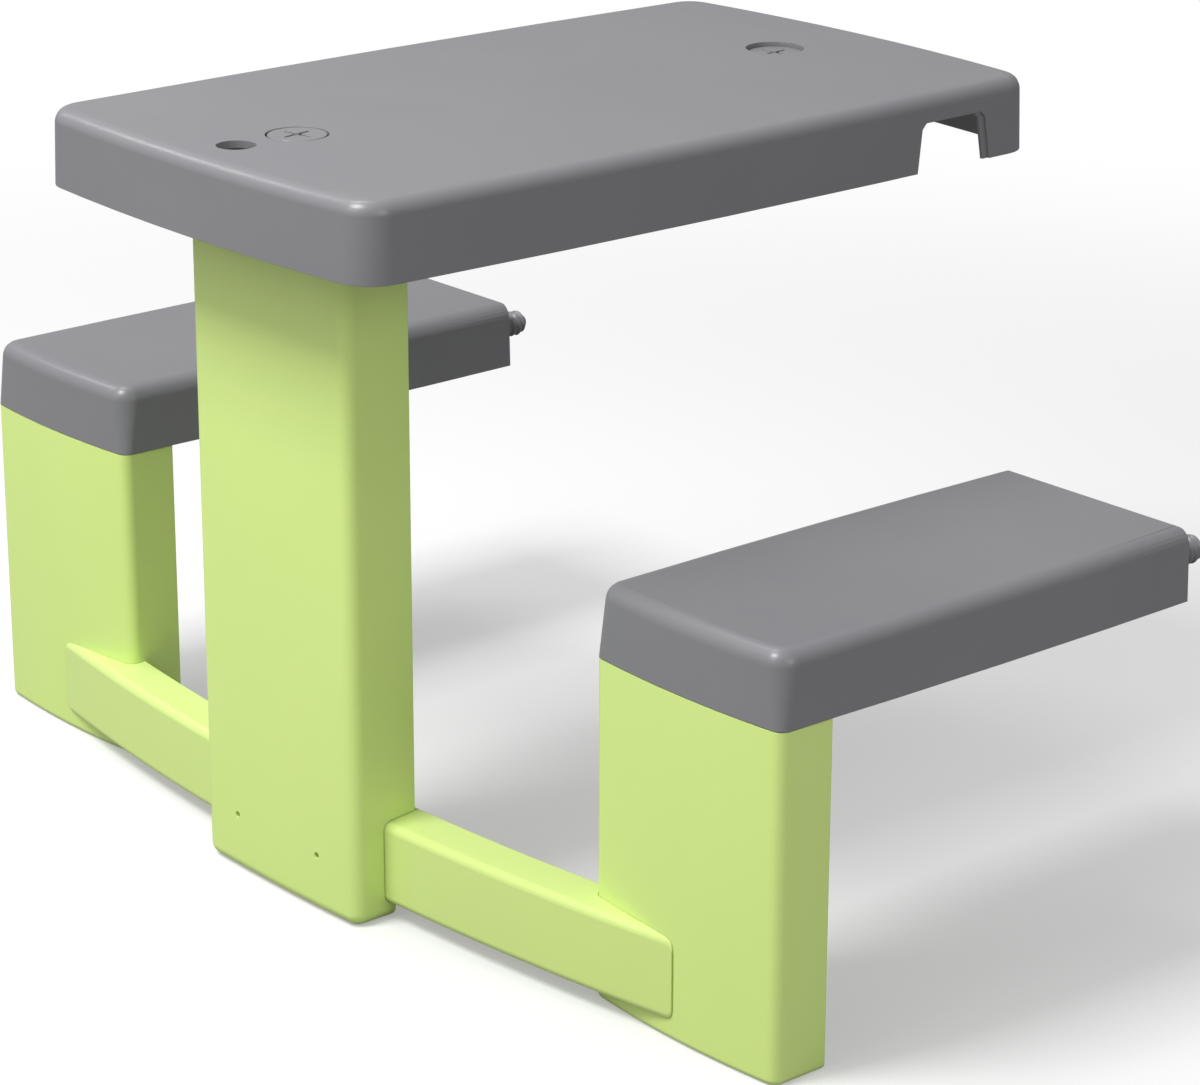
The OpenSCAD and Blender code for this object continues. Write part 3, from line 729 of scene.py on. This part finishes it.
def bench_edge(side: int) -> RolledEdge:
    """A bench top's edge. The roll lies between what the photograph's shading and outline show.

    Args:
        side: 1 for the right bench and -1 for the left one.

    Returns:
        The edge, whose plan runs past the wall that cuts the bench off.
    """
    plan = BowedPlan(half_w=75.3, side_bow=2.3, near_y=-162.9, near_bow=4.2, far_y=171.4, far_bow=0.01,
                     corner_r=14.718, middle_x=side * 306.3)
    return RolledEdge(plan, face_z=249.0, rim=43.2, frame_r=12.5, shown_r=10.0, shown_corner_r=14.718)


def smooth_by_angle(crease_deg: float) -> bpy.types.NodeTree:
    """Node group that shades faces smooth and keeps edges sharper than an angle creased."""
    name = f"smooth_{crease_deg:.0f}"
    if name in bpy.data.node_groups:
        return bpy.data.node_groups[name]
    tree = bpy.data.node_groups.new(name, "GeometryNodeTree")
    tree.interface.new_socket("Geometry", in_out="INPUT", socket_type="NodeSocketGeometry")
    tree.interface.new_socket("Geometry", in_out="OUTPUT", socket_type="NodeSocketGeometry")
    source = add_node(tree, "NodeGroupInput")
    angle = add_node(tree, "GeometryNodeInputMeshEdgeAngle")
    gentle = add_node(tree, "FunctionNodeCompare", {
        "A": angle.outputs["Unsigned Angle"], "B": math.radians(crease_deg),
    }, data_type="FLOAT", operation="LESS_EQUAL")
    faces = add_node(tree, "GeometryNodeSetShadeSmooth", {
        "Geometry": source.outputs[0], "Shade Smooth": True,
    }, domain="FACE")
    edges = add_node(tree, "GeometryNodeSetShadeSmooth", {
        "Geometry": faces.outputs[0], "Shade Smooth": gentle.outputs["Result"],
    }, domain="EDGE")
    add_node(tree, "NodeGroupOutput", {0: edges.outputs[0]})
    return tree


@dataclass
class FastenerSet:
    """Every screw and stud of the set, each placed by the node that it stands for."""

    finishes: Finishes
    large: Screw = field(default_factory=lambda: Screw(
        head_r=17.1, head_t=4.3, shank_r=8.5, shank_l=45.0, pitch=4.8, thread_depth=1.5, rim_r=0.5,
        recess=CrossRecess(span=20.0, arm=2.6, depth=3.9), columns=128))
    stud: Screw = field(default_factory=lambda: Screw(
        head_r=9.6, head_t=3.5, shank_r=8.5, shank_l=28.5, pitch=4.8, thread_depth=1.8, rim_r=0.4,
        key=Key(width=8.5, length=14.4), tip=Tip.DOME, plain_l=4.2))
    small: Screw = field(default_factory=lambda: Screw(
        head_r=4.0, head_t=1.4, shank_r=2.0, shank_l=16.0, pitch=1.8, thread_depth=0.55, rim_r=0.5,
        crown=1.2, recess=CrossRecess(span=4.4, arm=0.95, depth=1.5), columns=64, plain_l=0.6, sharp=1.6))
    recess_turn_deg: dict[str, float] = field(default_factory=lambda: {
        "near_table_screw": 10.0, "far_table_screw": 6.0})
    bench_screw_turn_deg: float = 20.0

    def build(self) -> None:
        """Builds each fastener in its node's place."""
        for node in sorted(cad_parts):
            if node in self.recess_turn_deg:
                self.build_large(node)
            elif node.endswith("_stud"):
                self.build_stud(node)
            elif node.endswith("_screw"):
                self.build_small(node)

    def build_large(self, node: str) -> None:
        """Builds a large screw that goes down through the table top."""
        low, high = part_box(node)
        middle = (low + high) / 2
        seat = Vector((middle.x, middle.y, high.z - self.large.head_t * MM))
        side = turned(self.recess_turn_deg[node])
        piece = self.large.build(f"{node}_threaded", seat, Vector((0, 0, -1)), side)
        self.finish(piece, node, Slot.GREY_SCREW)

    def build_stud(self, node: str) -> None:
        """Builds a stud that goes out through a bench's end wall, its key hanging down inside."""
        low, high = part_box(node)
        middle = (low + high) / 2
        seat = Vector((middle.x, low.y + self.stud.head_t * MM, high.z - self.stud.head_r * MM))
        piece = self.stud.build(f"{node}_threaded", seat, Vector((0, 1, 0)), Vector((0, 0, -1)))
        self.finish(piece, node, Slot.GREY_SCREW)

    def build_small(self, node: str) -> None:
        """Builds a pan-head screw: up into a bench, or forwards into a bar or a pedestal."""
        low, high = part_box(node)
        middle = (low + high) / 2
        head = self.small.head_t + self.small.crown
        if "bench" in node:
            screw = replace(self.small, shank_l=(high.z - low.z) / MM - head)
            seat = Vector((middle.x, middle.y, low.z + head * MM))
            side = turned(self.bench_screw_turn_deg)
            piece = screw.build(f"{node}_threaded", seat, Vector((0, 0, 1)), side)
        else:
            screw = replace(self.small, shank_l=(high.y - low.y) / MM - head)
            seat = Vector((middle.x, high.y - head * MM, middle.z))
            piece = screw.build(f"{node}_threaded", seat, Vector((0, -1, 0)), turned(0.0))
        self.finish(piece, node, Slot.ZINC_SCREW)

    def finish(self, piece: bpy.types.Object, node: str, slot: Slot) -> None:
        """Dresses a fastener, sets it to ride and lets it stand for its node."""
        piece.data.materials.append(self.finishes.made[slot])
        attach(piece, BODY)
        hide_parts(node)
        log.info("built %s with %d points", piece.name, len(piece.data.vertices))


def turned(degrees: float) -> Vector:
    """Unit vector in the ground plane, turned from +X."""
    return Vector((math.cos(math.radians(degrees)), math.sin(math.radians(degrees)), 0.0))


# Studio


@dataclass(frozen=True)
class SoftLamp:
    """A flat rectangular lamp that looks at the set, at a level where 1 shows a colour as written."""

    name: str
    level: float
    come_from: tuple[float, float, float]
    width: float
    length: float
    along: tuple[float, float, float] = (1.0, 0.0, 0.0)
    distance: float = 2.6
    aim_z: float = 0.2

    def hang(self) -> None:
        """Puts the lamp in its place, with its length along the way that is asked for."""
        data = bpy.data.lights.new(self.name, "AREA")
        data.shape = "RECTANGLE"
        data.size = self.length
        data.size_y = self.width
        # The lamp's light on a face that looks at it is power / (pi^2 d^2)
        data.energy = self.level * math.pi ** 2 * self.distance ** 2
        back = Vector(self.come_from).normalized()
        side = Vector(self.along)
        side = (side - back * side.dot(back)).normalized()
        lamp = bpy.data.objects.new(self.name, data)
        place = back * self.distance + Vector((0.0, 0.0, self.aim_z))
        turn = Matrix((side, back.cross(side), back)).transposed().to_4x4()
        lamp.matrix_world = Matrix.Translation(place) @ turn
        bpy.context.scene.collection.objects.link(lamp)


@dataclass
class Studio:
    """Camera, lamps, world and floor: a plain soft studio with a pale floor."""

    camera_place: tuple[float, float, float] = (1.7440, -1.4407, 0.9619)
    yaw_deg: float = 49.643
    pitch_deg: float = 19.199
    roll_deg: float = 0.1605
    focal_px: float = 3868.8
    sensor_mm: float = 36.0
    world_level: float = 0.38
    lamps: tuple[SoftLamp, ...] = (
        SoftLamp("key", 0.70, (-0.08, -0.54, 0.84), 0.8, 0.8),
        SoftLamp("over", 0.06, (0.0, -0.2, 0.98), 2.2, 2.2),
        SoftLamp("strip", 0.18, (-0.36, -0.08, 0.93), 0.25, 1.0, (0.35, 0.35, 0.12)),
        SoftLamp("front", 0.19, (-0.04, -0.77, 0.64), 1.6, 1.6),
        SoftLamp("line", 0.08, (-0.74, -0.24, 0.63), 0.3, 0.5, (0.35, 0.35, 0.3)),
        SoftLamp("fill", 0.13, (0.9, -0.1, 0.42), 1.0, 1.0),
    )
    floor_radius: float = 12.0
    floor_corners: int = 96
    # Distances from the middle between which the floor fades into white, in metres
    floor_fade: tuple[float, float] = (0.75, 1.9)
    floor_roughness: float = 0.85
    floor_sheen: float = 0.1
    floor_seen_colour: str = "#F2F2F2"
    floor_lit_colour: str = "#9A9A9A"
    # Share of white in the floor near the set, which pales the shadow for the camera only
    floor_haze: float = 0.3

    def camera(self) -> None:
        """Sets the camera where the photograph was taken from."""
        yaw, pitch, roll = (math.radians(a) for a in (self.yaw_deg, self.pitch_deg, self.roll_deg))
        ahead = Vector((-math.sin(yaw) * math.cos(pitch), math.cos(yaw) * math.cos(pitch), -math.sin(pitch)))
        right = Vector((math.cos(yaw), math.sin(yaw), 0.0))
        up = right.cross(ahead)
        right_rolled = right * math.cos(roll) + up * math.sin(roll)
        up_rolled = up * math.cos(roll) - right * math.sin(roll)
        data = bpy.data.cameras.new("camera")
        data.sensor_fit = "HORIZONTAL"
        data.sensor_width = self.sensor_mm
        data.lens = self.focal_px / PICTURE_W * self.sensor_mm
        camera = bpy.data.objects.new("camera", data)
        turn = Matrix((right_rolled, up_rolled, -ahead)).transposed().to_4x4()
        camera.matrix_world = Matrix.Translation(self.camera_place) @ turn
        bpy.context.scene.collection.objects.link(camera)
        bpy.context.scene.camera = camera

    def world(self) -> None:
        """Lights from all round at a plain level, and shows white behind the object."""
        world = bpy.data.worlds.new("studio")
        world.use_nodes = True
        bpy.context.scene.world = world
        tree = world.node_tree
        tree.nodes.clear()
        path = add_node(tree, "ShaderNodeLightPath")
        seen = add_node(tree, "ShaderNodeMath", {
            0: path.outputs["Is Camera Ray"], 1: path.outputs["Is Transmission Ray"],
        }, operation="MAXIMUM")
        level = add_node(tree, "ShaderNodeMix", {
            "Factor": seen.outputs["Value"], "A": self.world_level, "B": 1.0,
        }, data_type="FLOAT")
        shade = add_node(tree, "ShaderNodeBackground", {
            "Color": (1.0, 1.0, 1.0, 1.0), "Strength": level.outputs["Result"],
        })
        add_node(tree, "ShaderNodeOutputWorld", {"Surface": shade.outputs["Background"]})

    def floor(self) -> None:
        """Lays a round pale floor whose rim fades into the white behind."""
        turn = np.linspace(0.0, 2 * math.pi, self.floor_corners, endpoint=False)
        rim = np.stack([np.cos(turn), np.sin(turn), np.zeros_like(turn)], axis=-1) * self.floor_radius
        floor = surface_object("floor", rim, [list(range(self.floor_corners))])
        material = bpy.data.materials.new("pale_floor")
        material.use_nodes = True
        tree = material.node_tree
        tree.nodes.clear()
        place = add_node(tree, "ShaderNodeTexCoord").outputs["Object"]
        far = add_node(tree, "ShaderNodeVectorMath", {0: place}, operation="LENGTH")
        fade = add_node(tree, "ShaderNodeMapRange", {
            "Value": far.outputs["Value"],
            "From Min": self.floor_fade[0], "From Max": self.floor_fade[1], "To Min": self.floor_haze,
        }, interpolation_type="SMOOTHSTEP")
        path = add_node(tree, "ShaderNodeLightPath")
        shown = add_node(tree, "ShaderNodeMath", {
            0: fade.outputs["Result"], 1: path.outputs["Is Camera Ray"],
        }, operation="MULTIPLY")
        seen = add_node(tree, "ShaderNodeMix", {
            "Factor": path.outputs["Is Camera Ray"], "A": linear(self.floor_lit_colour),
            "B": linear(self.floor_seen_colour),
        }, data_type="RGBA")
        paint = add_node(tree, "ShaderNodeBsdfPrincipled", {
            "Base Color": seen.outputs["Result"],
            "Roughness": self.floor_roughness, "Specular IOR Level": self.floor_sheen,
        })
        white = add_node(tree, "ShaderNodeEmission", {"Color": (1.0, 1.0, 1.0, 1.0), "Strength": 1.0})
        mixed = add_node(tree, "ShaderNodeMixShader", {
            0: shown.outputs["Value"], 1: paint.outputs["BSDF"], 2: white.outputs["Emission"],
        })
        add_node(tree, "ShaderNodeOutputMaterial", {"Surface": mixed.outputs["Shader"]})
        floor.data.materials.append(material)

    def build(self) -> None:
        """Sets up the whole studio."""
        self.camera()
        for lamp in self.lamps:
            lamp.hang()
        self.world()
        self.floor()
        bpy.context.scene.view_settings.view_transform = "Standard"


def main() -> None:
    """Builds the studio, dresses the shells and builds the fasteners."""
    logging.basicConfig(level=logging.INFO, format="%(name)s: %(message)s")
    Studio().build()
    finishes = Finishes()
    Shell("table_top", Slot.GREY_SHELL, table_edge()).dress(finishes)
    for node, side in (("left_bench_top", -1), ("right_bench_top", 1)):
        Shell(node, Slot.GREY_SHELL, bench_edge(side)).dress(finishes)
    for node in ("pedestal", "left_leg", "right_leg"):
        Shell(node, Slot.GREEN_SHELL).dress(finishes)
    Shell("cross_bar", Slot.GREEN_BAR).dress(finishes)
    FastenerSet(finishes).build()


if __name__ == "__main__":
    main()
